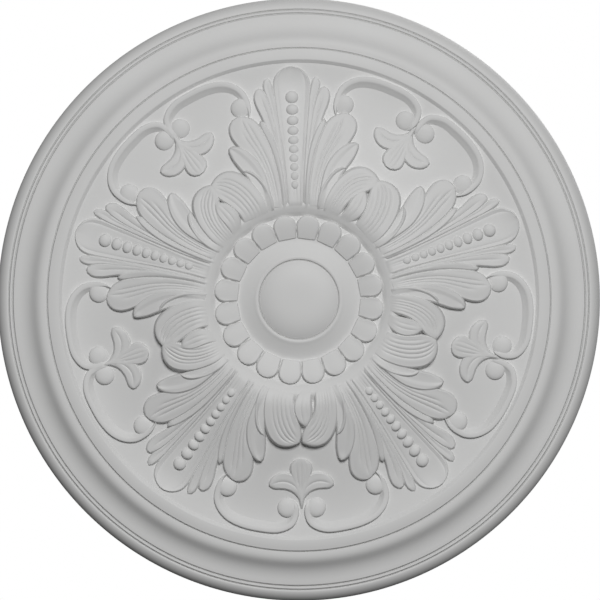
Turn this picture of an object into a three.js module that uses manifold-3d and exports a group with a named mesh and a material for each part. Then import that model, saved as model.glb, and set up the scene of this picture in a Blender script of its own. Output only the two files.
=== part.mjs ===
// A round ceiling rose, moulded in one piece. A stepped rim runs round a domed field.
// Five acanthus leaves with bead rows stand on the field, and between them are pairs of scrolls,
// each pair with a small three-petalled flower. A ring of twenty petals and a boss are at the centre.
//
// The rose is drawn lying on its back: X to the right, Y to its top, and heights measured from its
// flat back. The mesh is then turned over, so that it hangs face down under a ceiling at Z = 0.
// All sizes are millimetres.

import * as THREE from 'three';
import { mergeVertices } from 'three/addons/utils/BufferGeometryUtils.js';
import Module from 'manifold-3d';

const wasm = await Module();
wasm.setup();

// The rim, from outside to inside
const OUTER_RADIUS = 255;
const EDGE_HEIGHT = 3.5;
const ROLL_RADIUS = 246.2;
const ROLL_HEIGHT = 13.0;
const FILLET_OUTER = 244.8;
const FILLET_INNER = 241.9;
const FILLET_HEIGHT = 14.3;
const COVE_OUTER = 241.0;
const COVE_FOOT = 15.6;
const COVE_INNER = 214.8;
const COVE_HEAD = 28.2;
const CREST_OUTER = 211.6;
const CREST_INNER = 203.6;
const CREST_HEIGHT = 31.1;
const CREST_FALL = 1.3;

// The field that carries the ornament: it rises from the rim to the petal ring
const FIELD_RADIUS = 198.3;
const FIELD_HEIGHT = 28.2;
const FIELD_RISE = 23.3;
const FIELD_SWEEP = 1.15;
const RING_OUTER = 74;

// The petal ring, the hollow inside it, and the boss
const PETALS = 20;
const PETAL_TIP = 71.2;
const PETAL_FOOT = 49.5;
const PETAL_RISE = 3.6;
const HOLLOW_RADIUS = 50.3;
const HOLLOW_HEIGHT = 50.0;
const COLLAR_RADIUS = 36;
const COLLAR_HEIGHT = 53.8;
const BOSS_RADIUS = 32.8;
const BOSS_FOOT = 53.2;
const BOSS_RISE = 4.7;
const BOSS_CURVE = 3.2;

// The leaves
const LEAVES = 5;
const FIRST_LEAF = 92 * Math.PI / 180;
const LEAF_TURN = 2 * Math.PI / LEAVES;
const TIP_PROUD = 0.8;
const LEAF_PROUD = 4.4;
const LEAF_FULL_RADIUS = 105;
const LEAF_ROOT_RADIUS = 68;
const LEAF_ROOT_FULL = 88;
const LEAF_JOIN_RADIUS = 124;
const LEAF_JOIN_FULL = 95;

// Under everything, solids reach down to this height, inside the body
const SUNK = 20;

// How finely the curves are stepped. A lobe's end is drawn at these shares of its length.
const END_STATIONS = [0, 0.7, 0.97];
const NARROW_END_STATIONS = [0.3, 0.95];
const NARROW = 7;
const TURN_STEPS = 40;
const FIELD_RINGS = [FIELD_RADIUS, 160, 124, 95, RING_OUTER];
const COVE_STEPS = 3;
const ROLL_STEPS = 2;
const BOSS_STEPS = 2;

const TAU = 2 * Math.PI;

const smooth = (x) => {
  const t = Math.min(Math.max(x, 0), 1);
  return t * t * (3 - 2 * t);
};

const fieldHeight = (r) => {
  const inwards = Math.min(Math.max((FIELD_RADIUS - r) / (FIELD_RADIUS - RING_OUTER), 0), 1);
  return FIELD_HEIGHT + FIELD_RISE * smooth(inwards ** FIELD_SWEEP);
};

// How far a leaf's top stands above the field
const leafProud = (r) => {
  const swell = smooth((FIELD_RADIUS - r) / (FIELD_RADIUS - LEAF_FULL_RADIUS));
  const root = smooth((r - LEAF_ROOT_RADIUS) / (LEAF_ROOT_FULL - LEAF_ROOT_RADIUS));
  return (TIP_PROUD + (LEAF_PROUD - TIP_PROUD) * swell) * root;
};

// The leaves' roots run together into one swelling round the petal ring
const bodyHeight = (r) => (
  fieldHeight(r) + leafProud(r) * smooth((LEAF_JOIN_RADIUS - r) / (LEAF_JOIN_RADIUS - LEAF_JOIN_FULL))
);

const petalHeight = (r) => {
  const along = Math.min(Math.max((r - HOLLOW_RADIUS) / (PETAL_TIP - HOLLOW_RADIUS), 0), 1);
  return HOLLOW_HEIGHT + PETAL_RISE * Math.sin(along * Math.PI / 2);
};

// A solid for joining and cutting, from any closed three.js geometry
function toSolid(geometry) {
  const bare = geometry.index ? geometry.toNonIndexed() : geometry.clone();
  bare.deleteAttribute('normal');
  bare.deleteAttribute('uv');
  const merged = mergeVertices(bare, 1e-4);
  const index = merged.index.array;
  const kept = [];
  for (let i = 0; i < index.length; i += 3) {
    const [a, b, c] = [index[i], index[i + 1], index[i + 2]];
    if (a !== b && b !== c && c !== a) kept.push(a, b, c);
  }
  return new wasm.Manifold(new wasm.Mesh({
    numProp: 3,
    vertProperties: new Float32Array(merged.attributes.position.array),
    triVerts: new Uint32Array(kept),
  }));
}

function toGeometry(solid) {
  const mesh = solid.getMesh();
  const geometry = new THREE.BufferGeometry();
  geometry.setAttribute('position', new THREE.BufferAttribute(new Float32Array(mesh.vertProperties), 3));
  geometry.setIndex(new THREE.BufferAttribute(new Uint32Array(mesh.triVerts), 1));
  geometry.computeVertexNormals();
  return geometry;
}

// The solid under a sheet of points: rows run along it, and each row runs from its right to its left
function solidUnder(rows) {
  const across = rows[0].length;
  const count = rows.length * across;
  const positions = [];
  for (const row of rows) for (const [x, y, h] of row) positions.push(x, y, h);
  for (const row of rows) for (const [x, y] of row) positions.push(x, y, SUNK);
  const at = (i, j) => i * across + j;
  const faces = [];
  for (let i = 0; i < rows.length - 1; i += 1) {
    for (let j = 0; j < across - 1; j += 1) {
      const [a, b, c, d] = [at(i, j), at(i + 1, j), at(i + 1, j + 1), at(i, j + 1)];
      faces.push(a, b, c, a, c, d);
      faces.push(count + a, count + c, count + b, count + a, count + d, count + c);
    }
  }
  const edge = [];
  for (let i = 0; i < rows.length - 1; i += 1) edge.push(at(i, 0));
  for (let j = 0; j < across - 1; j += 1) edge.push(at(rows.length - 1, j));
  for (let i = rows.length - 1; i > 0; i -= 1) edge.push(at(i, across - 1));
  for (let j = across - 1; j > 0; j -= 1) edge.push(at(0, j));
  edge.forEach((a, k) => {
    const b = edge[(k + 1) % edge.length];
    faces.push(a, count + a, count + b, a, count + b, b);
  });
  const geometry = new THREE.BufferGeometry();
  geometry.setAttribute('position', new THREE.BufferAttribute(new Float32Array(positions), 3));
  geometry.setIndex(faces);
  return toSolid(geometry);
}

// The body: one turned profile, from the middle of the back round the rim to the top of the boss
function profile() {
  const points = [[0, 0], [OUTER_RADIUS, 0], [OUTER_RADIUS, EDGE_HEIGHT]];
  for (let i = 1; i <= ROLL_STEPS; i += 1) {
    const turn = (Math.PI / 2) * (0.82 * i / ROLL_STEPS);
    const reach = (1 - Math.cos(turn)) / (1 - Math.cos(Math.PI * 0.41));
    const rise = Math.sin(turn) / Math.sin(Math.PI * 0.41);
    points.push([
      OUTER_RADIUS + (ROLL_RADIUS - OUTER_RADIUS) * reach,
      EDGE_HEIGHT + (ROLL_HEIGHT - EDGE_HEIGHT) * rise,
    ]);
  }
  points.push([FILLET_OUTER, FILLET_HEIGHT], [FILLET_INNER, FILLET_HEIGHT], [COVE_OUTER, COVE_FOOT]);
  const cove = new THREE.CubicBezierCurve(
    new THREE.Vector2(COVE_OUTER, COVE_FOOT),
    new THREE.Vector2(COVE_OUTER - 13.5, COVE_FOOT + 2.6),
    new THREE.Vector2(COVE_INNER + 11.5, COVE_HEAD - 0.6),
    new THREE.Vector2(COVE_INNER, COVE_HEAD),
  );
  for (const p of cove.getPoints(COVE_STEPS).slice(1)) points.push([p.x, p.y]);
  points.push([CREST_OUTER, CREST_HEIGHT - CREST_FALL]);
  points.push([CREST_INNER, CREST_HEIGHT]);
  for (const r of FIELD_RINGS) points.push([r, bodyHeight(r)]);
  points.push([HOLLOW_RADIUS, HOLLOW_HEIGHT - 0.8]);
  points.push([COLLAR_RADIUS + 9.8, HOLLOW_HEIGHT + 0.4]);
  points.push([COLLAR_RADIUS, COLLAR_HEIGHT]);
  for (let i = 0; i <= BOSS_STEPS; i += 1) {
    const r = BOSS_RADIUS * (1 - i / BOSS_STEPS);
    points.push([r, BOSS_FOOT + BOSS_RISE * (1 - (r / BOSS_RADIUS) ** BOSS_CURVE)]);
  }
  return points;
}

function body() {
  const points = profile().map(([r, h]) => new THREE.Vector2(r, h));
  const lathe = new THREE.LatheGeometry(points, TURN_STEPS);
  lathe.rotateX(Math.PI / 2);
  return toSolid(lathe);
}

// A lobe is a tongue of leaf along a curve, with a rounded or pointed end. Its top follows height(r),
// swells by crown in the middle, and has a furrow down its length where one is given.
function lobe(shape, turn, side, height) {
  const place = ([x, y]) => new THREE.Vector2(x * side, y).rotateAround(new THREE.Vector2(), turn);
  const spine = new THREE.QuadraticBezierCurve(place(shape.root), place(shape.bend), place(shape.tip));
  const length = spine.getLength();
  const shank = length - shape.end;
  const ends = shape.width < NARROW ? NARROW_END_STATIONS : END_STATIONS;
  const stations = ends.map((past) => shank + shape.end * past);
  for (let i = shape.stems - 1; i >= 0; i -= 1) stations.unshift(shank * i / shape.stems);
  const rows = stations.map((along) => {
    const middle = spine.getPointAt(along / length);
    const heading = spine.getTangentAt(along / length);
    const past = Math.max((along - shank) / shape.end, 0);
    const widen = (Math.min(along, shank) / shank) ** shape.flare;
    const width = (shape.rootWidth + (shape.width - shape.rootWidth) * widen) * Math.sqrt(1 - past * past);
    const row = [];
    for (let j = 0; j <= shape.strips; j += 1) {
      const s = -1 + 2 * j / shape.strips;
      const x = middle.x - heading.y * width * s;
      const y = middle.y + heading.x * width * s;
      const round = (1 - Math.abs(s) ** 3) * Math.sqrt(1 - past ** 4);
      const furrow = shape.furrow * Math.max(0, 1 - 3 * Math.abs(s)) * smooth(4 * along / length) * (1 - past);
      row.push([x, y, height(Math.hypot(x, y)) + shape.lift + shape.crown * round - furrow]);
    }
    return row;
  });
  return solidUnder(rows);
}

// One half of a leaf, to the right of its middle line, from its tip down to its root.
// The lobes nearer the centre stand higher and lie over the ones farther out.
const LEAF_LOBES = [
  { root: [9.0, 118.0], bend: [11.5, 150.0], tip: [21.2, 187.3], rootWidth: 2.6, width: 4.7, end: 6.8,
    flare: 1, lift: 0, crown: 0.8, furrow: 0, stems: 1, strips: 2 },
  { root: [11.5, 118.0], bend: [16.0, 150.0], tip: [29.7, 178.0], rootWidth: 3.5, width: 6.2, end: 9.3,
    flare: 1, lift: 0.2, crown: 1.0, furrow: 0, stems: 1, strips: 2 },
  { root: [16.5, 98.0], bend: [22.5, 127.0], tip: [50.0, 152.5], rootWidth: 9.5, width: 12.4, end: 12.4,
    flare: 1.5, lift: 0.4, crown: 1.6, furrow: 1.4, stems: 1, strips: 4 },
  { root: [30.0, 92.0], bend: [34.0, 117.0], tip: [54.2, 131.4], rootWidth: 7.0, width: 8.4, end: 20.0,
    flare: 1, lift: 1.3, crown: 1.2, furrow: 0, stems: 1, strips: 2 },
  { root: [34.0, 82.0], bend: [41.0, 101.0], tip: [69.5, 102.5], rootWidth: 9.5, width: 12.6, end: 12.6,
    flare: 1, lift: 1.6, crown: 1.8, furrow: 1.4, stems: 1, strips: 4 },
];

// The long tongue down the middle of a leaf, which carries the beads
const TONGUE = { root: [0, 92], bend: [0, 140], tip: [0, 196.6], rootWidth: 7.2, width: 16.1, end: 16.1,
  flare: 1.5, lift: 0.6, crown: 0, furrow: 0, stems: 3, strips: 1 };

// The small folded lobe that fills the gap between two leaves, left of each leaf
const GAP_LOBE = { root: [-48.5, 58], bend: [-51.5, 72], tip: [-67.0, 83.9], rootWidth: 5.0, width: 7.8,
  end: 13.0, flare: 1, lift: 2.2, crown: 1.4, furrow: 0, stems: 1, strips: 2 };

const PETAL = { root: [0, PETAL_FOOT], bend: [0, 60], tip: [0, PETAL_TIP], rootWidth: 7.5, width: 9.8,
  end: 8.5, flare: 1, lift: 0, crown: 0.7, furrow: 0, stems: 1, strips: 2 };

function leaf(turn) {
  const top = (r) => fieldHeight(r) + leafProud(r);
  const solids = [lobe(TONGUE, turn, 1, top)];
  for (const side of [1, -1]) {
    for (const shape of LEAF_LOBES) solids.push(lobe(shape, turn, side, top));
  }
  solids.push(lobe(GAP_LOBE, turn, 1, top));
  return solids;
}

// The beads shrink from the tip to the root, and each just clears the next
const BEADS = 10;
const FIRST_BEAD_AT = 170.5;
const FIRST_BEAD = 5.6;
const LAST_BEAD = 2.7;
const BEAD_GAP = 0.35;
const BEAD_SIDES = 5;

function beads(turn) {
  const solids = [];
  let along = FIRST_BEAD_AT;
  let last = 0;
  for (let i = 0; i < BEADS; i += 1) {
    const radius = FIRST_BEAD + (LAST_BEAD - FIRST_BEAD) * (i / (BEADS - 1));
    if (i > 0) along -= last + radius + BEAD_GAP;
    const level = fieldHeight(along) + leafProud(along);
    solids.push(stud(0, along, turn, radius, level, 0.2 + 0.75 * radius, BEAD_SIDES));
    last = radius;
  }
  return solids;
}

// A scroll runs from a button beside the leaf, out along the rim, and curls into a button by the
// flower. Its outer edge is a raised band, and its inner edge a slope down to the field.
// Its places are degrees from the leaf's middle line, and radii.
const SCROLL_PATH = [
  [12.3, 164], [12.8, 172], [13.5, 181], [15.3, 188], [18, 193], [21.4, 195.3],
  [26, 195.8], [31, 194.5], [33.8, 188], [34.7, 181], [34.5, 175],
];
const SCROLL_BAND = 5.0;
const SCROLL_SLOPE = 7.5;
const SCROLL_PROUD = 2.6;
const SCROLL_STEPS = 7;
const LEAF_BUTTON = [14.9, 168.4];
const FLOWER_BUTTON = [32.5, 175.8];
const BUTTON_RADIUS = 8.2;
const BUTTON_PROUD = 3.4;
const BUTTON_SIDES = 8;

const fromLeaf = ([degrees, radius], side) => {
  const turn = degrees * Math.PI / 180;
  return new THREE.Vector3(side * radius * Math.sin(turn), radius * Math.cos(turn), 0);
};

function scroll(turn, side) {
  const points = SCROLL_PATH.map((place) => fromLeaf(place, side));
  const path = new THREE.CatmullRomCurve3(points, false, 'centripetal');
  const upright = new THREE.Vector3(0, 0, 1);
  const rows = [];
  for (let i = 0; i <= SCROLL_STEPS; i += 1) {
    const along = i / SCROLL_STEPS;
    const middle = path.getPointAt(along);
    const inwards = path.getTangentAt(along).cross(upright).multiplyScalar(side);
    const slope = SCROLL_SLOPE * Math.sin(Math.PI * along) ** 0.6;
    const marks = [
      [-SCROLL_BAND / 2, SCROLL_PROUD],
      [SCROLL_BAND / 2, SCROLL_PROUD],
      [SCROLL_BAND / 2 + slope + 0.2, -0.4],
    ];
    const row = marks.map(([off, proud]) => {
      const p = middle.clone().addScaledVector(inwards, off);
      const level = fieldHeight(Math.hypot(p.x, p.y));
      p.applyAxisAngle(upright, turn);
      return [p.x, p.y, level + proud];
    });
    rows.push(side > 0 ? row.reverse() : row);
  }
  const solids = [solidUnder(rows)];
  for (const place of [LEAF_BUTTON, FLOWER_BUTTON]) {
    const { x, y } = fromLeaf(place, side);
    solids.push(stud(x, y, turn, BUTTON_RADIUS, fieldHeight(place[1]), BUTTON_PROUD, BUTTON_SIDES));
  }
  return solids;
}

// A round stud with a low domed top, used for the buttons and the beads
function stud(x, y, turn, radius, level, proud, sides) {
  const points = [[0, SUNK], [radius, SUNK], [radius * 0.85, level + proud * 0.7], [0, level + proud]];
  const disc = new THREE.LatheGeometry(points.map(([r, h]) => new THREE.Vector2(r, h)), sides);
  disc.rotateX(Math.PI / 2);
  disc.translate(x, y, 0);
  disc.rotateZ(turn);
  return toSolid(disc);
}

// The flower in each gap points inwards from between the two scrolls
const FLOWER_SIDE = { root: [1, 172], bend: [8, 150], tip: [29.5, 158.5], rootWidth: 3.5, width: 6.8, end: 11,
  flare: 0.7, lift: 2.0, crown: 1.2, furrow: 0, stems: 2, strips: 2 };
const FLOWER_MIDDLE = { root: [0, 173], bend: [0, 155], tip: [0, 135.6], rootWidth: 2.5, width: 9.6, end: 12,
  flare: 0.9, lift: 2.2, crown: 1.4, furrow: 0, stems: 1, strips: 2 };

function flower(turn) {
  return [
    lobe(FLOWER_SIDE, turn, 1, fieldHeight),
    lobe(FLOWER_SIDE, turn, -1, fieldHeight),
    lobe(FLOWER_MIDDLE, turn, 1, fieldHeight),
  ];
}

function petals() {
  const solids = [];
  for (let i = 0; i < PETALS; i += 1) {
    const turn = FIRST_LEAF - Math.PI / 2 + TAU * (i + 0.5) / PETALS;
    solids.push(lobe(PETAL, turn, 1, petalHeight));
  }
  return solids;
}

function rose() {
  const solids = [body(), ...petals()];
  for (let i = 0; i < LEAVES; i += 1) {
    const turn = FIRST_LEAF - Math.PI / 2 + LEAF_TURN * i;
    solids.push(...leaf(turn), ...beads(turn), ...scroll(turn, 1), ...scroll(turn, -1));
    solids.push(...flower(turn + LEAF_TURN / 2));
  }
  return solids.reduce((whole, next) => whole.add(next));
}

const primedWhite = new THREE.MeshStandardMaterial({ color: 0xd6d6d4, roughness: 0.6, metalness: 0 });
const moulding = new THREE.Mesh(toGeometry(rose()), primedWhite);
moulding.name = 'ceiling_rose';
moulding.rotation.x = Math.PI;

const group = new THREE.Group();
group.add(moulding);

export default group;
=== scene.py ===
# %% [markdown]
# # A moulded ceiling rose
# A ceiling rose is cast in one piece in a mould, so that every leaf, bead and scroll is one skin.
# The casting is modelled as a carver builds up the master for such a mould. A turned blank comes
# first, then each leaf, scroll and flower is laid on it, and at the end all of it is joined.
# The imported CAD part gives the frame: its flat back lies on the ceiling at Z = 0, face down.

# %% Load the frame
import math

import bpy
import numpy as np
from mathutils import Matrix, Vector


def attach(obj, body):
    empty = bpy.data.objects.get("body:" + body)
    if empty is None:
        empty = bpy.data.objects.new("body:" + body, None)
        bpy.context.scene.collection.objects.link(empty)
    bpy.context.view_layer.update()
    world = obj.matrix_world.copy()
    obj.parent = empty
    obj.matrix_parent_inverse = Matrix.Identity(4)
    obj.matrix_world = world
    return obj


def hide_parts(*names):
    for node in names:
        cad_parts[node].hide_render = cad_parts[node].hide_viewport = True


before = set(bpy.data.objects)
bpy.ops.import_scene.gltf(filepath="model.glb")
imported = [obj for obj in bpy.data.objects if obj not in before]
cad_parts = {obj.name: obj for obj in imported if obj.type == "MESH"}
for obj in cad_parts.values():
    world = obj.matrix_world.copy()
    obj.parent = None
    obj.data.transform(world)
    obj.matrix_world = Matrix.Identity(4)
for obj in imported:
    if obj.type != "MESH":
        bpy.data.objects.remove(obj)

bpy.ops.object.select_all(action="DESELECT")
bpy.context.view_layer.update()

# %% [markdown]
# ## Sizes
# The rose is drawn lying on its back on a bench: X to the right, Y to its top, and heights
# measured from its flat back, all in millimetres. The meshes are in metres, so every place is
# multiplied by MM when it goes into a mesh. Most sizes are those of the CAD model. The wall
# inside the crest, the nicks, the boss and the leaf roots are drawn more finely here.

# %% The rim, the field and the centre
MM = 0.001

OUTER_RADIUS = 255
EDGE_HEIGHT = 3.5
ROLL_RADIUS = 246.2
ROLL_HEIGHT = 13.0
FILLET_OUTER = 244.8
FILLET_INNER = 241.9
FILLET_HEIGHT = 14.3
COVE_OUTER = 241.0
COVE_FOOT = 15.6
COVE_INNER = 214.8
COVE_HEAD = 28.2
CREST_OUTER = 211.6
CREST_INNER = 202.4
WALL_FOOT = 199.7
CREST_HEIGHT = 31.1
CREST_FALL = 1.3

FIELD_RADIUS = 198.3
FIELD_HEIGHT = 28.2
FIELD_RISE = 23.3
FIELD_SWEEP = 1.15
BRIM_RADIUS = 181
BRIM_RISE = 0.6
RING_OUTER = 74

PETALS = 20
PETAL_TIP = 71.2
PETAL_FOOT = 49.5
PETAL_RISE = 3.6
HOLLOW_RADIUS = 50.3
HOLLOW_HEIGHT = 50.0
COLLAR_RADIUS = 36
COLLAR_HEIGHT = 53.8
BOSS_RADIUS = 32.8
BOSS_FOOT = 52.8
BOSS_RISE = 5.1
BOSS_CURVE = 4.0

# %% The leaves: where they point, and how far they stand above the field
LEAF_AXES = [math.radians(a) for a in (92.0, 20.0, -52.5, 234.0, 163.0)]
TIP_PROUD = 0.8
LEAF_PROUD = 4.4
LEAF_FULL_RADIUS = 105
LEAF_ROOT_RADIUS = 67
LEAF_ROOT_FULL = 82
LEAF_JOIN_RADIUS = 88
LEAF_JOIN_FULL = 79
GROW_FROM = 74
GROW_FULL = 91


def smooth(x):
    t = np.clip(x, 0, 1)
    return t * t * (3 - 2 * t)


def field_height(r):
    inwards = np.clip((FIELD_RADIUS - r) / (FIELD_RADIUS - RING_OUTER), 0, 1)
    brim = BRIM_RISE * smooth((r - BRIM_RADIUS) / (FIELD_RADIUS - BRIM_RADIUS))
    return FIELD_HEIGHT + FIELD_RISE * smooth(inwards ** FIELD_SWEEP) + brim


def leaf_height(r):
    swell = smooth((FIELD_RADIUS - r) / (FIELD_RADIUS - LEAF_FULL_RADIUS))
    root = smooth((r - LEAF_ROOT_RADIUS) / (LEAF_ROOT_FULL - LEAF_ROOT_RADIUS))
    return field_height(r) + (TIP_PROUD + (LEAF_PROUD - TIP_PROUD) * swell) * root


def body_height(r):
    joined = smooth((LEAF_JOIN_RADIUS - r) / (LEAF_JOIN_RADIUS - LEAF_JOIN_FULL))
    return field_height(r) + (leaf_height(r) - field_height(r)) * joined


def petal_height(r):
    along = np.clip((r - HOLLOW_RADIUS) / (PETAL_TIP - HOLLOW_RADIUS), 0, 1)
    return HOLLOW_HEIGHT + PETAL_RISE * np.sin(along * math.pi / 2)


print("field", [round(float(field_height(r)), 1) for r in (190, 150, 110, 80)],
      "leaf", [round(float(leaf_height(r)), 1) for r in (190, 150, 110, 80)])

# %% [markdown]
# ## The turned blank
# The rim, the field and the boss are round, as if turned on a lathe. They could be stacked from
# cylinders and rings, but a spun line keeps each fine nick crisp all the way round. One point is
# extruded along the profile, from the middle of the back round the rim to the top of the boss,
# and the line is spun round the axis. Doubles are merged at both poles, which closes the blank.

# %% The profile: steps outwards and upwards from its corners
NICK_DEPTH = 1.5
BACK_CHAMFER = 0.6
EDGE_HANDLE = (-1.3, 4.7)
ROLL_HANDLE = (3.6, -0.3)
FILLET_NICK = [(1.2, -0.1), (0.6, -NICK_DEPTH)]
FILLET_LIP = [(-0.4, 0), (-0.7, 0.1)]
COVE_NICK = [(1.0, 0), (0.3, -NICK_DEPTH)]
COVE_LIP = [(0.1, 0.2), (-0.3, 0.3)]
COVE_FOOT_HANDLE = (-18.5, 2.0)
COVE_HEAD_HANDLE = (10.4, -0.1)
CREST_NICK = [(1.5, 0), (0.8, -NICK_DEPTH)]
CREST_LIP = [(-0.1, -0.1), (-0.5, 0)]
CREST_EDGE = [(0.6, 0), (0.2, 0), (0, -0.1)]
CREST_EASE = 0.1
WALL_EASE = 0.4
RING_EASE = 1.0
PETAL_BED = 0.4
HOLLOW_DIP = 0.8
COLLAR_SWEEP = (11.5, -0.9)
COLLAR_EDGE = [(1.2, -0.6), (0.4, -0.1), (-0.3, 0)]
BOSS_LIP = [(1.7, 0), (1.3, -0.2)]
BOSS_NICK = (0.4, -1.2)

# %% The profile: how finely it is divided
ROLL_STEPS = 10
COVE_STEPS = 16
CREST_STEPS = 5
FIELD_STEP = 6.0
ROOT_STEP = 2.0
HOLLOW_STEPS = 10
BOSS_STEPS = 12
TURN_STEPS = 240


def arc(a, b, bulge, steps):
    """Points after a up to b on a curve that leaves a along bulge."""
    a, b, c = np.array(a, float), np.array(b, float), np.array(bulge, float)
    t = np.linspace(0, 1, steps + 1)[1:, None]
    return ((1 - t) ** 2 * a + 2 * t * (1 - t) * c + t ** 2 * b).tolist()


def cubic(a, b, c, d, steps):
    """Points after a up to d on a curve with the handles b and c."""
    a, b, c, d = (np.array(p, float) for p in (a, b, c, d))
    t = np.linspace(0, 1, steps + 1)[1:, None]
    return ((1 - t) ** 3 * a + 3 * t * (1 - t) ** 2 * b + 3 * t ** 2 * (1 - t) * c + t ** 3 * d).tolist()


def step_from(corner, step):
    return [corner[0] + step[0], corner[1] + step[1]]


def steps_from(corner, steps):
    return [step_from(corner, step) for step in steps]


# %% The profile of the rim and the crest
def rim_points():
    edge = (OUTER_RADIUS, EDGE_HEIGHT)
    roll = (ROLL_RADIUS, ROLL_HEIGHT)
    foot = (COVE_OUTER, COVE_FOOT)
    head = (COVE_INNER, COVE_HEAD)
    points = [[0, 0], [OUTER_RADIUS - BACK_CHAMFER, 0], [OUTER_RADIUS, BACK_CHAMFER], list(edge)]
    points += cubic(edge, step_from(edge, EDGE_HANDLE), step_from(roll, ROLL_HANDLE), roll, ROLL_STEPS)
    points += steps_from((FILLET_OUTER, ROLL_HEIGHT), FILLET_NICK)
    points += steps_from((FILLET_OUTER, FILLET_HEIGHT), FILLET_LIP)
    points += steps_from((FILLET_INNER, FILLET_HEIGHT), COVE_NICK)
    points += steps_from(foot, COVE_LIP)
    handles = (step_from(foot, COVE_FOOT_HANDLE), step_from(head, COVE_HEAD_HANDLE))
    points += cubic(points[-1], *handles, head, COVE_STEPS)
    return points


def crest_points():
    low = CREST_HEIGHT - CREST_FALL
    floor = FIELD_HEIGHT + BRIM_RISE
    edge = steps_from((CREST_INNER, CREST_HEIGHT), CREST_EDGE)
    middle = ((CREST_OUTER + CREST_INNER) / 2, CREST_HEIGHT - CREST_EASE)
    points = steps_from((CREST_OUTER, COVE_HEAD), CREST_NICK)
    points += steps_from((CREST_OUTER, low), CREST_LIP)
    points += arc(points[-1], edge[0], middle, CREST_STEPS) + edge[1:]
    points += [[WALL_FOOT, floor], [WALL_FOOT - WALL_EASE, floor], [FIELD_RADIUS, floor]]
    return points


# %% The profile of the field and the centre
def centre_points():
    points = []
    r = FIELD_RADIUS - FIELD_STEP
    while r > RING_OUTER:
        points.append([r, float(body_height(np.array(r)))])
        r -= FIELD_STEP if r > LEAF_JOIN_RADIUS + FIELD_STEP else ROOT_STEP
    ring_edge = RING_OUTER - RING_EASE
    points.append([ring_edge, float(body_height(np.array(ring_edge)))])
    points.append([PETAL_TIP - RING_EASE, HOLLOW_HEIGHT + PETAL_BED])
    points.append([HOLLOW_RADIUS, HOLLOW_HEIGHT - HOLLOW_DIP])
    edge = steps_from((COLLAR_RADIUS, COLLAR_HEIGHT), COLLAR_EDGE)
    sweep = step_from((COLLAR_RADIUS, HOLLOW_HEIGHT), COLLAR_SWEEP)
    points += arc(points[-1], edge[0], sweep, HOLLOW_STEPS) + edge[1:]
    points += steps_from((BOSS_RADIUS, COLLAR_HEIGHT), BOSS_LIP)
    points.append(step_from((BOSS_RADIUS, BOSS_FOOT), BOSS_NICK))
    for k in range(BOSS_STEPS + 1):
        r = BOSS_RADIUS * math.cos(math.pi / 2 * k / BOSS_STEPS)
        points.append([r, BOSS_FOOT + BOSS_RISE * (1 - (r / BOSS_RADIUS) ** BOSS_CURVE)])
    points[-1][0] = 0.0
    return points


PROFILE = rim_points() + crest_points() + centre_points()
print("the profile has", len(PROFILE), "points")


# %% Spin the blank
def edit(piece):
    bpy.ops.object.select_all(action="DESELECT")
    bpy.context.view_layer.objects.active = piece
    piece.select_set(True)
    bpy.ops.object.mode_set(mode="EDIT")
    bpy.ops.mesh.select_all(action="SELECT")


def make_blank():
    bpy.ops.mesh.primitive_plane_add(size=MM, location=(0, 0, 0))
    piece = bpy.context.active_object
    edit(piece)
    bpy.ops.mesh.merge(type="CENTER")
    for (r0, h0), (r1, h1) in zip(PROFILE, PROFILE[1:]):
        step = ((r1 - r0) * MM, 0, (h1 - h0) * MM)
        bpy.ops.mesh.extrude_region_move(TRANSFORM_OT_translate={"value": step})
    bpy.ops.mesh.select_all(action="SELECT")
    bpy.ops.mesh.spin(steps=TURN_STEPS, angle=2 * math.pi, center=(0, 0, 0), axis=(0, 0, 1))
    bpy.ops.mesh.select_all(action="SELECT")
    bpy.ops.mesh.remove_doubles(threshold=0.01 * MM)
    bpy.ops.mesh.normals_make_consistent(inside=False)
    bpy.ops.object.mode_set(mode="OBJECT")
    return piece


blank = make_blank()
blank.name = "rose_casting"
print("the blank has", len(blank.data.polygons), "faces")

# %% [markdown]
# ## Skins
# Every leaf lobe, petal and scroll is a patch that lies on the blank and sinks into it. It could
# be sculpted, but a grid gives even rows and columns that a formula can shape: it is extruded
# once, which closes it, and then its points are moved to their places. The lower sheet is a
# little wider, which gives the walls the slope that lets a casting leave its mould.

# %% A closed skin from rows of places
SKIRT = 12.0
DRAFT = 1.6


def make_skin(name, top, spread):
    """top: rows x columns x 3 places in mm; spread: the same, how far the foot stands out."""
    rows, columns = top.shape[:2]
    bpy.ops.mesh.primitive_grid_add(x_subdivisions=columns - 1, y_subdivisions=rows - 1, size=2)
    piece = bpy.context.active_object
    piece.name = name
    edit(piece)
    bpy.ops.mesh.extrude_region_move(TRANSFORM_OT_translate={"value": (0, 0, -1)})
    bpy.ops.object.mode_set(mode="OBJECT")
    place = np.empty(len(piece.data.vertices) * 3)
    piece.data.vertices.foreach_get("co", place)
    place = place.reshape(-1, 3)
    column = np.rint((place[:, 0] + 1) / 2 * (columns - 1)).astype(int)
    row = np.rint((place[:, 1] + 1) / 2 * (rows - 1)).astype(int)
    foot = place[:, 2] < -0.5
    moved = top[row, column] + foot[:, None] * (spread[row, column] - (0, 0, SKIRT))
    piece.data.vertices.foreach_set("co", (moved * MM).ravel())
    piece.data.update()
    edit(piece)
    bpy.ops.mesh.normals_make_consistent(inside=False)
    bpy.ops.object.mode_set(mode="OBJECT")
    return piece


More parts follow.
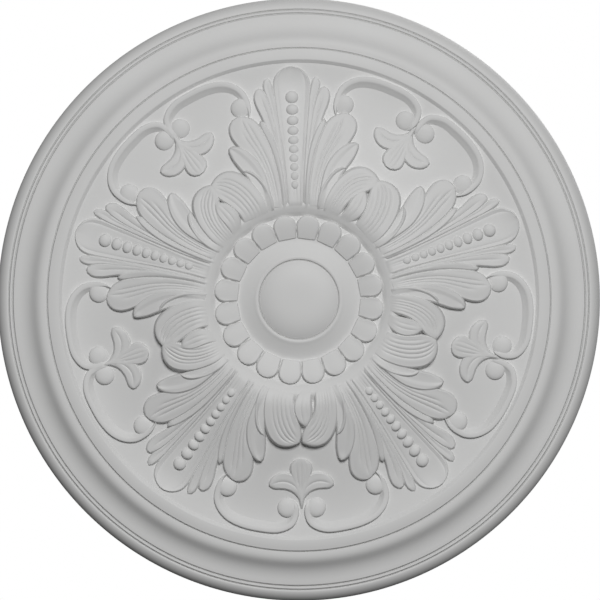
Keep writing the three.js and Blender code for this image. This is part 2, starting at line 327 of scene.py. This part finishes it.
# %% [markdown]
# ## A lobe of leaf
# A lobe is drawn by its two edges, which run from the root to one tip. Across it, s runs from -1
# at the outer edge to 1 at the inner one, which is nearer the middle of the leaf, and t runs
# from 0 at the root to 1 at the tip. The top follows the swelling of the leaf, stands higher by
# lift, is domed by crown, and turns over in a narrow roll at the edge, as a carver leaves it.
# Each vein is a crease (its s, its depth, and the t where it starts and stops). A fold sinks the
# outer side of the lobe from a ridge to a floor, and a rise lifts the tip. Subdividing a coarse
# patch would blur the creases, so columns are placed where a crease or an edge needs them.

# %% Rows and columns of a lobe
ROW_STEP = 3.3
FEWEST_ROWS = 14
ROUGH_ROWS = 60
PATH_SAMPLES = 30
COLUMN_STEP = 2.2
COLUMN_GAP = 0.28
FEWEST_COLUMNS = 4
EDGE_COLUMNS = (0.45, 0.9, 1.4, 2.2)
VEIN_WIDTH = 1.0
VEIN_COLUMNS = (-1.8, -0.6, 0, 0.6, 1.8)
TIP_SHARE = 0.06


def smooth_path(points, count):
    """A centripetal curve through points, as evenly spaced places."""
    points = np.array(points, float)
    full = np.vstack([2 * points[0] - points[1], points, 2 * points[-1] - points[-2]])
    gaps = np.sqrt(np.linalg.norm(np.diff(full, axis=0), axis=1))
    knots = np.concatenate([[0], np.cumsum(gaps)])
    dense = []
    for k in range(1, len(full) - 2):
        t = np.linspace(knots[k], knots[k + 1], PATH_SAMPLES, endpoint=False)[:, None]
        p0, p1, p2, p3 = full[k - 1:k + 3]
        t0, t1, t2, t3 = knots[k - 1:k + 3]
        a1 = (t1 - t) / (t1 - t0) * p0 + (t - t0) / (t1 - t0) * p1
        a2 = (t2 - t) / (t2 - t1) * p1 + (t - t1) / (t2 - t1) * p2
        a3 = (t3 - t) / (t3 - t2) * p2 + (t - t2) / (t3 - t2) * p3
        b1 = (t2 - t) / (t2 - t0) * a1 + (t - t0) / (t2 - t0) * a2
        b2 = (t3 - t) / (t3 - t1) * a2 + (t - t1) / (t3 - t1) * a3
        dense.append((t2 - t) / (t2 - t1) * b1 + (t - t1) / (t2 - t1) * b2)
    dense = np.vstack(dense + [points[-1:]])
    along = np.concatenate([[0], np.cumsum(np.linalg.norm(np.diff(dense, axis=0), axis=1))])
    even = np.linspace(0, along[-1], count)
    return np.stack([np.interp(even, along, dense[:, k]) for k in (0, 1)], axis=1)


def columns_of(shape, half_width):
    """The s of each column: close together at the edges and the veins, and even between."""
    marks = [-1, 1]
    for off in EDGE_COLUMNS:
        if off < half_width:
            marks += [1 - off / half_width, off / half_width - 1]
    even = max(FEWEST_COLUMNS, int(2 * half_width / COLUMN_STEP))
    marks += list(np.linspace(-1, 1, even + 1))
    for at, *_ in shape.get("veins", ()):
        marks += [at + k * VEIN_WIDTH / half_width for k in VEIN_COLUMNS]
    if "fold" in shape:
        ridge, floor, _ = shape["fold"]
        marks += [ridge, floor]
    marks = np.unique(np.round(np.clip(marks, -1, 1), 4))
    keep = [marks[0]]
    for mark in marks[1:]:
        if mark - keep[-1] > COLUMN_GAP / half_width:
            keep.append(mark)
    keep[-1] = 1.0
    return np.array(keep)


def lobe_edges(shape):
    """The places of the inner and the outer edge, row by row, which almost meet at the tip."""
    tip = [shape["tip"]]
    rough = smooth_path(shape["inner"] + tip, ROUGH_ROWS)
    length = np.linalg.norm(np.diff(rough, axis=0), axis=1).sum()
    rows = max(FEWEST_ROWS, int(length / ROW_STEP))
    edges = [smooth_path(shape[key] + tip, rows) for key in ("inner", "outer")]
    for edge in edges:
        edge[-1] = tip[0] + (edge[-2] - tip[0]) * TIP_SHARE
    return edges


# %% The relief of a lobe
EDGE_ROLL = 1.4
EDGE_FALL = 1.3
EDGE_CURVE = 1.6
CROWN_CURVE = 2.2
RIM_LINE = 0.25
RIM_LINE_SHARE = 0.45
RIM_LINE_FROM = 1
RIM_LINE_OVER = 2
VEIN_IN = 0.12
VEIN_OUT = 0.1
FOLD_END = 1.02
FOLD_OUT = 0.15
ROOT_SINK = 5.0
ROOT_SINK_SHARE = 0.04
ROOT_DIP = 0.35
TIP_FROM = 0.8
TIP_OVER = 0.2
TIP_SIDE_LOSS = 0.6


def shape_growth(shape, xy, t):
    """How much of its own relief a lobe has: none where it leaves the root, all farther out."""
    if "grow" in shape:
        return smooth(t / shape["grow"])
    return smooth((np.hypot(xy[..., 0], xy[..., 1]) - GROW_FROM) / (GROW_FULL - GROW_FROM))


def carved(shape, h, s, t, half, grown):
    """The heights h with the veins, the fold and the rising tip."""
    for at, depth, start, stop in shape.get("veins", ()):
        cut = np.exp(-np.abs(s - at) * half / VEIN_WIDTH)
        h = h - depth * cut * grown * smooth((t - start) / VEIN_IN) * smooth((stop - t) / VEIN_OUT)
    if "fold" in shape:
        ridge, floor, depth = shape["fold"]
        h = h - depth * smooth((ridge - s) / (ridge - floor)) * grown * smooth((FOLD_END - t) / FOLD_OUT)
    if "rise" in shape:
        start, gain = shape["rise"]
        h = h + gain * smooth((t - start) / (1 - start))
    return h


def lobe_top(shape, height, side):
    inner, outer = lobe_edges(shape)
    half = np.linalg.norm(inner - outer, axis=1)[:, None] / 2
    s = columns_of(shape, half.max())[None]
    t = np.linspace(0, 1, len(inner))[:, None]
    xy = outer[:, None] * (1 - s[..., None]) / 2 + inner[:, None] * (1 + s[..., None]) / 2
    inset = (1 - np.abs(s)) * half
    grown = shape_growth(shape, xy, t)
    rolled = 1 - np.clip(inset / EDGE_ROLL, 0, 1)
    domed = 1 - (1 - np.clip(inset / half.max(), 0, 1)) ** CROWN_CURVE
    line = np.exp(-((inset - EDGE_ROLL) / (RIM_LINE_SHARE * EDGE_ROLL)) ** 2)
    wide = smooth((half - RIM_LINE_FROM) / RIM_LINE_OVER)
    h = height(np.hypot(xy[..., 0], xy[..., 1])) + grown * (shape["lift"] + shape["crown"] * domed)
    h = h - ROOT_SINK * (1 - smooth(t / ROOT_SINK_SHARE)) - ROOT_DIP * (1 - grown)
    h = h - EDGE_FALL * rolled ** EDGE_CURVE + RIM_LINE * line * grown * wide
    h = carved(shape, h, s, t, half, grown)
    top = np.dstack([xy[..., 0] * side, xy[..., 1], h])
    return top, lobe_spread(inner, outer, s, t, side)


def lobe_spread(inner, outer, s, t, side):
    """How far the foot stands out: sideways along the lobe, and ahead at the tip."""
    across = (inner - outer) / np.linalg.norm(inner - outer, axis=1)[:, None]
    heading = np.gradient((inner + outer) / 2, axis=0)
    heading /= np.linalg.norm(heading, axis=1, keepdims=True)
    ahead = smooth((t - TIP_FROM) / TIP_OVER)[..., None]
    out = across[:, None] * s[..., None] * (1 - TIP_SIDE_LOSS * ahead) + heading[:, None] * ahead
    flat = np.zeros(out.shape[:2])
    return np.dstack([out[..., 0] * side * DRAFT, out[..., 1] * DRAFT, flat])


def make_lobe(name, shape, height, side=1):
    top, spread = lobe_top(shape, height, side)
    return make_skin(name, top, spread)


# %% [markdown]
# ## The leaf
# Half a leaf is drawn, to the right of its middle line, and the other half is its mirror image,
# apart from a wider low lobe. The lobes nearer the centre stand higher and lie over those
# farther out, so each is a skin of its own. A broad tongue down the middle carries the beads,
# and one small lobe fills the gap beside each leaf.

# %% The lobes of half a leaf, from its tip down to its root
LEAF_LOBES = {
    "inner_finger": dict(
        inner=[(6.4, 74.6), (7.2, 101.7), (9.3, 127.1), (11.9, 150.9), (14.4, 172), (16.1, 180.5),
               (17.8, 185.2)],
        outer=[(8.9, 74.6), (10.2, 101.7), (13.1, 127.1), (16.9, 150.9), (21, 169.5), (23.7, 176.7),
               (24.4, 181.4), (23.3, 185.6)],
        tip=(20.3, 187.6), lift=1.0, crown=0.5, veins=[(-0.1, 0.45, 0.66, 0.97)]),
    "outer_finger": dict(
        inner=[(7.4, 73.5), (9, 105.9), (11.4, 127.1), (14.8, 148.3), (18.6, 165.3), (21.6, 173.3),
               (24.6, 178)],
        outer=[(10.8, 73.5), (13.1, 105.9), (17.4, 127.1), (22.5, 144.1), (27.1, 155.9), (30.9, 164.4),
               (32.4, 171.2), (31.2, 176.3)],
        tip=(28.0, 179.0), lift=1.4, crown=0.6, veins=[(0.1, 1.0, 0.3, 0.93)]),
    "main_finger": dict(
        inner=[(7.4, 73.5), (8.3, 93.2), (10.2, 110.2), (12.7, 124.6), (16.1, 135.6), (19.9, 144.1),
               (23.3, 149.2)],
        outer=[(11, 73.5), (12.3, 93.2), (14.8, 110.2), (18.6, 125.4), (23.3, 137.3), (27.1, 145.3),
               (28.1, 149.2)],
        tip=(26.7, 151.5), lift=2.4, crown=0.3, fold=(0.2, -0.6, 0.7)),
    "main_lobe": dict(
        inner=[(10.2, 74.6), (11.9, 93.2), (15.3, 114.4), (20.3, 131.4), (26.3, 144.9), (32.2, 152.1),
               (38.1, 154.9)],
        outer=[(22, 74.6), (24.2, 91.5), (28.8, 105.9), (36.4, 119.1), (44.1, 127.5), (50, 134.3),
               (53.6, 141.5), (53.4, 148.7), (49.6, 153.8)],
        tip=(44.1, 155.7), lift=1.5, crown=1.0,
        veins=[(0.38, 1.1, 0.05, 0.88), (0.08, 1.2, 0.03, 0.92), (-0.22, 0.9, 0.05, 0.80),
               (-0.52, 0.6, 0.1, 0.62)]),
    "knife_lobe": dict(
        inner=[(17.8, 73), (20.3, 89), (22.9, 100.9), (26.3, 111), (32.2, 119.9), (39, 126.3),
               (45.8, 129.9), (50.9, 130.5)],
        outer=[(30, 71), (31.4, 83.1), (33.9, 93.2), (39, 102.5), (44.9, 110.2), (49.6, 116.1),
               (53, 122), (54.5, 126.3)],
        tip=(54.2, 128.7), lift=2.9, crown=0.3, fold=(0.5, 0.05, 1.5)),
    "low_finger": dict(
        inner=[(16.4, 72), (18.2, 82.2), (20.3, 89), (23.7, 96.6), (28.4, 102.5), (34.3, 107.9),
               (39.4, 110.2)],
        outer=[(21.2, 72), (22.9, 83.9), (25.4, 91.5), (29.2, 98.3), (33.9, 103.8), (39, 107.2)],
        tip=(43.6, 109.3), lift=3.5, crown=0.3, fold=(0.2, -0.6, 0.6)),
    "low_lobe": dict(
        inner=[(21.2, 71.2), (24.6, 82.2), (29.7, 91.5), (35.6, 99.2), (42.4, 105.1), (49.2, 108.7),
               (55.9, 109.6), (62.7, 107.5), (67.8, 103)],
        outer=[(33, 65), (37.5, 70.5), (42, 77), (47.5, 82.6), (54.2, 86.5), (61, 88.6), (67, 92)],
        tip=(71.2, 97.0), lift=2.8, crown=1.0,
        veins=[(0.42, 1.0, 0.05, 0.84), (0.16, 1.2, 0.03, 0.90), (-0.1, 1.2, 0.03, 0.88),
               (-0.38, 1.0, 0.05, 0.84), (-0.66, 0.7, 0.1, 0.74)]),
}
WIDE_OUTER = [(43.2, 64.4), (46.6, 71.2), (51.7, 77.1), (57.6, 81.8), (63.6, 86), (68.6, 91.1)]


# %% The tongue, and the lobe in the gap on the leaf's left
def both_edges(edge):
    """The edges of a lobe that is the same on its left and its right."""
    return dict(inner=[(-x, y) for x, y in edge], outer=edge)


TONGUE_EDGE = [(6.4, 72.9), (6.8, 93.2), (8.9, 118.7), (11.9, 144.1), (14.4, 165.3), (15.8, 179.7),
               (14.9, 186.5), (11.4, 192), (5.9, 195.6)]
TONGUE = dict(
    **both_edges(TONGUE_EDGE), tip=(0, 196.9), lift=1.1, crown=-0.9, rise=(0.8, 1.0),
    veins=[(0.14, 0.6, 0.02, 0.30), (-0.14, 0.6, 0.02, 0.30), (0.56, 0.5, 0.02, 0.28),
           (-0.56, 0.5, 0.02, 0.28), (0.74, 0.5, 0.3, 0.94), (-0.74, 0.5, 0.3, 0.94)])

GAP_LOBE = dict(
    inner=[(-46.2, 51.5), (-45.8, 60.0), (-46.6, 69.3), (-50.3, 76.9), (-56.4, 81.9), (-62.1, 83.8)],
    outer=[(-53.2, 51.3), (-55.3, 58.1), (-59.5, 64.4), (-63.6, 69.1), (-66.5, 73.9), (-68.0, 79.0)],
    tip=(-67.9, 83.3), lift=3.3, crown=0.9, veins=[(0.2, 0.7, 0.3, 0.85), (-0.35, 0.6, 0.3, 0.8)])

# %% One leaf
leaf_pieces = [make_lobe("tongue", TONGUE, leaf_height)]
for side in (1, -1):
    for name, shape in LEAF_LOBES.items():
        if name == "low_lobe" and side < 0:
            shape = dict(shape, outer=WIDE_OUTER)
        leaf_pieces.append(make_lobe(name, shape, leaf_height, side))
leaf_pieces.append(make_lobe("gap_lobe", GAP_LOBE, leaf_height))
print("one leaf has", len(leaf_pieces), "lobes")

# %% [markdown]
# ## Beads
# Ten beads run down the tongue and shrink towards the root. Each is a sphere, squeezed down and
# flattened on top, so that it looks pressed into the leaf. The upper ones are a little wider
# than they are long, and their lengths are summed up one by one, so that they just don't touch.

# %% Ten beads
BEADS = 10
FIRST_BEAD_AT = 170.6
FIRST_BEAD_WIDTH = 11.2
LAST_BEAD_WIDTH = 6.2
FIRST_BEAD_LENGTH = 11.0
LAST_BEAD_LENGTH = 7.0
BEAD_SHRINK = 2.2
BEAD_GAP = 0.25
BEAD_SQUASH = 0.62
BEAD_MESH = (20, 12)
STUD_CURVE = 2.5
STUD_SINK = 0.5


def make_stud(name, x, y, level, size, segments, rings):
    """size: the half width, the half length and how far it stands out."""
    bpy.ops.mesh.primitive_uv_sphere_add(
        segments=segments, ring_count=rings, radius=MM, location=(x * MM, y * MM, level * MM)
    )
    piece = bpy.context.active_object
    piece.name = name
    piece.scale = size
    bpy.ops.object.transform_apply(location=True, rotation=False, scale=True)
    place = np.empty(len(piece.data.vertices) * 3)
    piece.data.vertices.foreach_get("co", place)
    place = place.reshape(-1, 3) / MM
    out = np.hypot((place[:, 0] - x) / size[0], (place[:, 1] - y) / size[1]).clip(0, 1)
    above = size[2] * (1 - out ** STUD_CURVE) ** (1 / STUD_CURVE)
    below = place[:, 2] - STUD_SINK * (place[:, 2] < level)
    place[:, 2] = np.where(place[:, 2] > level, level + above, below)
    piece.data.vertices.foreach_set("co", (place * MM).ravel())
    piece.data.update()
    return piece


def make_beads():
    pieces = []
    at = FIRST_BEAD_AT
    last = None
    for k in range(BEADS):
        wide = (FIRST_BEAD_WIDTH + (LAST_BEAD_WIDTH - FIRST_BEAD_WIDTH) * k / (BEADS - 1)) / 2
        shrunk = math.exp(-k / BEAD_SHRINK)
        long = (LAST_BEAD_LENGTH + (FIRST_BEAD_LENGTH - LAST_BEAD_LENGTH) * shrunk) / 2
        if last is not None:
            at -= last + long + BEAD_GAP
        level = float(leaf_height(np.array(at)))
        pieces.append(make_stud("bead", 0, at, level, (wide, long, BEAD_SQUASH * wide), *BEAD_MESH))
        last = long
    return pieces


leaf_pieces += make_beads()
print("with its beads a leaf has", len(leaf_pieces), "pieces")

# %% [markdown]
# ## Scrolls
# In each gap two scrolls run from a button beside the leaf out along the rim and curl into a
# second button. The outer edge is a raised band, and the inner edge slopes down to the field. A
# bevelled curve would keep one round section all along, so the scroll is a skin with its own
# section swept along a smooth line. It narrows at both ends and sinks in beside the flower.

# %% The scroll beside a leaf, in degrees from the leaf's middle line and radii
SCROLL_PATH = [
    (13.4, 158.5), (12.7, 164), (12.8, 172), (13.5, 181), (15.3, 188), (18, 193), (21.4, 195.3),
    (26, 195.8), (31, 194.7), (34.2, 189), (35.2, 181), (35.0, 172), (33.6, 166.5),
]
SCROLL_ROWS = 56
SCROLL_SLOPE = 5.2
SLOPE_CURVE = 0.6
SLOPE_LEAST = 0.25
SCROLL_PROUD = 3.3
SCROLL_TAPER = 0.12
SCROLL_THINNEST = 0.15
SCROLL_END = 0.08
SCROLL_SPREAD = (0.5, 0.3)
LEAF_BUTTON = (15.0, 168.4)
FLOWER_BUTTON = (32.8, 175.4)
BUTTON_RADIUS = 8.4
BUTTON_PROUD = 3.4
BUTTON_MESH = (40, 16)

# %% The section of a scroll: mm across, a share of the slope, and a share of the height
HALF_BAND = 2.3
SCROLL_SECTION = [
    (-HALF_BAND - 0.2, 0, -0.2), (-HALF_BAND, 0, 0.80), (-HALF_BAND + 0.4, 0, 0.95),
    (-HALF_BAND + 1.0, 0, 1.0), (HALF_BAND - 0.9, 0, 0.98), (HALF_BAND - 0.3, 0, 0.93),
    (HALF_BAND, 0.05, 0.80), (HALF_BAND, 0.5, 0.34), (HALF_BAND, 0.85, 0.05), (HALF_BAND, 1.0, -0.15),
]


def from_leaf(degrees, radius, side):
    turn = math.radians(degrees)
    return np.array([side * radius * math.sin(turn), radius * math.cos(turn)])


def scroll_top(side):
    path = smooth_path([from_leaf(a, r, side) for a, r in SCROLL_PATH], SCROLL_ROWS)
    heading = np.gradient(path, axis=0)
    heading /= np.linalg.norm(heading, axis=1, keepdims=True)
    inwards = np.stack([heading[:, 1], -heading[:, 0]], axis=1) * side
    along = np.linspace(0, 1, SCROLL_ROWS)
    ends = smooth(along / SCROLL_TAPER) * smooth((1 - along) / SCROLL_TAPER)
    taper = ends * (1 - SCROLL_THINNEST) + SCROLL_THINNEST
    slope = SCROLL_SLOPE * np.sin(math.pi * along) ** SLOPE_CURVE + SLOPE_LEAST
    ending = smooth((1 - along) / SCROLL_END)
    top = np.zeros((SCROLL_ROWS, len(SCROLL_SECTION), 3))
    spread = np.zeros_like(top)
    for k, (fixed, share, proud) in enumerate(SCROLL_SECTION):
        xy = path + inwards * (fixed * taper + share * slope)[:, None]
        level = field_height(np.hypot(xy[:, 0], xy[:, 1]))
        top[:, k, :2] = xy
        top[:, k, 2] = level + SCROLL_PROUD * proud * ending - (1 - ending)
    spread[:, 0, :2] = -inwards * SCROLL_SPREAD[0]
    spread[:, -1, :2] = inwards * SCROLL_SPREAD[1]
    return top, spread


for side in (1, -1):
    leaf_pieces.append(make_skin("scroll", *scroll_top(side)))
    for degrees, radius in (LEAF_BUTTON, FLOWER_BUTTON):
        x, y = from_leaf(degrees, radius, side)
        level = float(field_height(np.array(radius)))
        size = (BUTTON_RADIUS, BUTTON_RADIUS, BUTTON_PROUD)
        leaf_pieces.append(make_stud("button", x, y, level, size, *BUTTON_MESH))
print("with its scrolls a leaf has", len(leaf_pieces), "pieces")

# %% [markdown]
# ## Flowers and petals
# Between two leaves a small flower points inwards from where the scrolls touch: a fluted
# middle petal with a curled petal on each side. Round the centre runs a ring of twenty petals.
# They are lobes too, on a different height, so the same functions make them, and grow says over
# what share of its length a petal comes up out of its root.

# %% One flower and one petal
FLOWER_SIDE = dict(
    inner=[(-0.3, 178), (-1.2, 170), (-0.8, 161), (1.7, 153.4), (5.7, 148.3), (11.3, 145.6), (17, 145.5),
           (22.5, 147.7), (26.6, 151.8)],
    outer=[(0.3, 178), (1.2, 171), (3.2, 167), (7.3, 162.7), (13, 160.2), (18.6, 159.6), (23.4, 159.3)],
    tip=(27.4, 156.6), lift=2.5, crown=1.0, grow=0.15, veins=[(-0.1, 0.8, 0.35, 0.9)])
MIDDLE_EDGE = [(0.4, 180), (1.6, 172), (3, 165.3), (5.5, 156.8), (8.1, 149.2), (9.6, 142.4),
               (8.3, 137.7), (4.7, 134.8)]
FLOWER_MIDDLE = dict(
    **both_edges(MIDDLE_EDGE), tip=(0, 133.9), lift=2.8, crown=1.1, grow=0.15,
    veins=[(0.42, 0.55, 0.3, 0.86), (0, 0.6, 0.3, 0.9), (-0.42, 0.55, 0.3, 0.86)])
PETAL_EDGE = [(7.6, PETAL_FOOT), (8.6, 56), (9.7, 61), (9.4, 64.4), (7.8, 67.6), (4.6, 70.3)]
PETAL = dict(**both_edges(PETAL_EDGE), tip=(0, PETAL_TIP), lift=0.2, crown=0.7, grow=0.1)

flower_pieces = [
    make_lobe("flower_right", FLOWER_SIDE, field_height, 1),
    make_lobe("flower_left", FLOWER_SIDE, field_height, -1),
    make_lobe("flower_middle", FLOWER_MIDDLE, field_height),
]
petal = make_lobe("petal", PETAL, petal_height)
print("flower", len(flower_pieces), "pieces, petal", len(petal.data.polygons), "faces")


# %% Copies round the rose
def turned_copy(piece, turn):
    twin = piece.copy()
    twin.data = piece.data.copy()
    twin.data.transform(Matrix.Rotation(turn, 4, "Z"))
    bpy.context.scene.collection.objects.link(twin)
    return twin


def between(first, second):
    turn = (second - first) % (2 * math.pi)
    return first + (turn if turn < math.pi else turn - 2 * math.pi) / 2


parts = []
for k, axis in enumerate(LEAF_AXES):
    parts += [turned_copy(piece, axis - math.pi / 2) for piece in leaf_pieces]
    middle = between(axis, LEAF_AXES[(k + 1) % len(LEAF_AXES)])
    parts += [turned_copy(piece, middle - math.pi / 2) for piece in flower_pieces]
for k in range(PETALS):
    turn = LEAF_AXES[0] - math.pi / 2 + 2 * math.pi * (k + 0.5) / PETALS
    parts.append(turned_copy(petal, turn))
for piece in leaf_pieces + flower_pieces + [petal]:
    bpy.data.objects.remove(piece)
print("the blank carries", len(parts), "pieces")

# %% [markdown]
# ## One casting
# The pieces could just overlap, but then their hidden walls would stay in the mesh. They are
# joined to the blank in one union, so that the rose is a single closed skin, like the casting.
# Then it is turned over to hang face down, and shaded smooth except over sharp edges.

# %% Join, turn over and smooth
SHARP = math.radians(38)


def join_all(base, pieces):
    """One union of all the pieces."""
    group = bpy.data.collections.new("laid_on")
    for piece in pieces:
        bpy.context.scene.collection.objects.unlink(piece)
        group.objects.link(piece)
    union = base.modifiers.new("union", "BOOLEAN")
    union.operation = "UNION"
    union.operand_type = "COLLECTION"
    union.collection = group
    union.solver = "MANIFOLD"
    bpy.ops.object.select_all(action="DESELECT")
    bpy.context.view_layer.objects.active = base
    base.select_set(True)
    bpy.ops.object.modifier_apply(modifier="union")
    for piece in pieces:
        bpy.data.objects.remove(piece)
    bpy.data.collections.remove(group)


join_all(blank, parts)
blank.rotation_euler = (math.pi, 0, 0)
bpy.ops.object.select_all(action="DESELECT")
blank.select_set(True)
bpy.context.view_layer.objects.active = blank
bpy.ops.object.transform_apply(location=False, rotation=True, scale=False)
bpy.ops.object.shade_smooth_by_angle(angle=SHARP)
blank.data.calc_loop_triangles()
print("the casting has", len(blank.data.loop_triangles), "triangles")


# %% [markdown]
# ## The primed finish
# The rose is sold primed: a thin matt white coat, sprayed on, over a smooth moulding. It is
# almost even. Close up it has the fine pebble of spray and a soft ripple, and broad faint clouds
# where the coat is a little thinner and greyer. A plain white would look like a drawing, so
# three noises on Object coordinates vary the colour, the roughness and the bump.

# %% Shader maths as Python expressions
class Sock:
    """One node socket. The operators add Math nodes, and pick adds any other node."""

    tree = None

    def __init__(self, socket):
        self.socket = socket

    @classmethod
    def pick(cls, kind, settings=None, out=0, **inputs):
        node = cls.tree.nodes.new(kind)
        for key, value in (settings or {}).items():
            setattr(node, key, value)
        for key, value in inputs.items():
            numbered = key[0] == "i" and key[1:].isdigit()
            socket = node.inputs[int(key[1:]) if numbered else key]
            if isinstance(value, Sock):
                cls.tree.links.new(value.socket, socket)
            else:
                socket.default_value = value
        return cls(node.outputs[out])

    def maths(self, operation, other, swap=False):
        a, b = (other, self) if swap else (self, other)
        return Sock.pick("ShaderNodeMath", {"operation": operation}, i0=a, i1=b)

    def __add__(self, other):
        return self.maths("ADD", other)

    def __radd__(self, other):
        return self.maths("ADD", other, True)

    def __sub__(self, other):
        return self.maths("SUBTRACT", other)

    def __rsub__(self, other):
        return self.maths("SUBTRACT", other, True)

    def __mul__(self, other):
        return self.maths("MULTIPLY", other)

    def __rmul__(self, other):
        return self.maths("MULTIPLY", other, True)


# %% The primer
WHITE = (0.74, 0.74, 0.735, 1)
THIN_GREY = (0.60, 0.60, 0.59, 1)
CLOUD_SCALE = 14.0
CLOUD_FROM = 0.35
CLOUD_SHARE = 0.35
PEBBLE_SCALE = 900.0
RIPPLE_SCALE = 120.0
PRIMER_ROUGHNESS = 0.58
PEBBLE_ROUGHNESS = 0.12
CLOUD_ROUGHNESS = 0.1
PRIMER_SPECULAR = 0.35
GRAIN_STRENGTH = 0.25
GRAIN_DEPTH = 0.25 * MM


def make_primer():
    material = bpy.data.materials.new("primed_white")
    material.use_nodes = True
    Sock.tree = material.node_tree
    shader = next(n for n in Sock.tree.nodes if n.type == "BSDF_PRINCIPLED")
    at = Sock.pick("ShaderNodeTexCoord", out="Object")
    clouds = Sock.pick("ShaderNodeTexNoise", Vector=at, Scale=CLOUD_SCALE, Detail=3.0, Roughness=0.5)
    pebble = Sock.pick("ShaderNodeTexNoise", Vector=at, Scale=PEBBLE_SCALE, Detail=2.0, Roughness=0.55)
    ripple = Sock.pick("ShaderNodeTexNoise", Vector=at, Scale=RIPPLE_SCALE, Detail=2.0, Roughness=0.5)
    thin = (clouds - CLOUD_FROM) * CLOUD_SHARE
    tone = Sock.pick("ShaderNodeMix", {"data_type": "RGBA"}, out=2, Factor=thin, i6=WHITE, i7=THIN_GREY)
    Sock.tree.links.new(tone.socket, shader.inputs["Base Color"])
    rough = (pebble - 0.5) * PEBBLE_ROUGHNESS + (clouds - 0.5) * CLOUD_ROUGHNESS + PRIMER_ROUGHNESS
    Sock.tree.links.new(rough.socket, shader.inputs["Roughness"])
    grain = pebble * 0.5 + ripple * 0.5
    bump = Sock.pick("ShaderNodeBump", Height=grain, Strength=GRAIN_STRENGTH, Distance=GRAIN_DEPTH)
    Sock.tree.links.new(bump.socket, shader.inputs["Normal"])
    shader.inputs["Specular IOR Level"].default_value = PRIMER_SPECULAR
    return material


primer = make_primer()
blank.data.materials.clear()
blank.data.materials.append(primer)
print("primer has", len(primer.node_tree.nodes), "nodes")

# %% [markdown]
# ## Camera, light and floor
# The rose is seen square on from below, from far off, so that nothing is drawn larger for
# standing nearer. One large soft lamp shines up at it, a little from its top edge, and a dim
# even surround fills the shadows. The lens itself sees the surround white, as a plain backdrop.
# A second lamp from above lights the back and the floor, which lies far below the camera.

# %% Camera
LENS = 400
SENSOR = 36
PHOTO_SIDE = 600
DISC_PIXELS = 601.8
CENTRE_OFF = (-1.06, -0.37)

frame_width = 2 * OUTER_RADIUS * MM * PHOTO_SIDE / DISC_PIXELS
distance = frame_width * LENS / SENSOR
camera_data = bpy.data.cameras.new("camera")
camera = bpy.data.objects.new("camera", camera_data)
bpy.context.scene.collection.objects.link(camera)
camera_data.lens = LENS
camera_data.sensor_width = SENSOR
camera_data.clip_end = 60
camera_data.shift_x = -CENTRE_OFF[0] / PHOTO_SIDE
camera_data.shift_y = CENTRE_OFF[1] / PHOTO_SIDE
camera.location = (0, 0, -distance)
camera.rotation_euler = (math.pi, 0, 0)
bpy.context.scene.camera = camera
print("the camera is", round(distance, 2), "m below the rose")

# %% Lamps and surround
KEY_TOWARDS = (0.117, -0.407, -1.0)
KEY_STRENGTH = 2.1
KEY_SPREAD = math.radians(18)
TOP_TOWARDS = (0.5, -0.6, 1.0)
TOP_STRENGTH = 1.3
TOP_SPREAD = math.radians(40)
SURROUND = 0.05


def add_sun(name, towards, strength, spread):
    lamp = bpy.data.lights.new(name, "SUN")
    lamp.energy = strength
    lamp.angle = spread
    lamp_object = bpy.data.objects.new(name, lamp)
    lamp_object.rotation_mode = "QUATERNION"
    lamp_object.rotation_quaternion = Vector(towards).normalized().to_track_quat("Z", "Y")
    bpy.context.scene.collection.objects.link(lamp_object)


add_sun("key", KEY_TOWARDS, KEY_STRENGTH, KEY_SPREAD)
add_sun("top_fill", TOP_TOWARDS, TOP_STRENGTH, TOP_SPREAD)

world = bpy.data.worlds.new("surround")
world.use_nodes = True
bpy.context.scene.world = world
Sock.tree = world.node_tree
background = next(n for n in world.node_tree.nodes if n.type == "BACKGROUND")
seen = Sock.pick("ShaderNodeLightPath", out="Is Camera Ray")
world.node_tree.links.new((seen * (1.0 - SURROUND) + SURROUND).socket, background.inputs["Strength"])
background.inputs["Color"].default_value = (1, 1, 1, 1)
bpy.context.scene.view_settings.view_transform = "Standard"
print("lamps and surround are in place")

# %% Floor
FLOOR_DEPTH = 7.5
FLOOR_SIDE = 60
FLOOR_TONE = (0.8, 0.8, 0.8, 1)
FLOOR_ROUGHNESS = 0.9

bpy.ops.mesh.primitive_plane_add(size=FLOOR_SIDE, location=(0, 0, -FLOOR_DEPTH))
floor = bpy.context.active_object
floor.name = "floor"
floor.visible_shadow = False
floor.visible_diffuse = False
floor_finish = bpy.data.materials.new("floor_finish")
floor_finish.use_nodes = True
floor_shader = next(n for n in floor_finish.node_tree.nodes if n.type == "BSDF_PRINCIPLED")
floor_shader.inputs["Base Color"].default_value = FLOOR_TONE
floor_shader.inputs["Roughness"].default_value = FLOOR_ROUGHNESS
floor.data.materials.append(floor_finish)
print("the floor is", FLOOR_DEPTH, "m below the ceiling")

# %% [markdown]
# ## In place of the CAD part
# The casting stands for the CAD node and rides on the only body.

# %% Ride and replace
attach(blank, "root")
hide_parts("ceiling_rose")
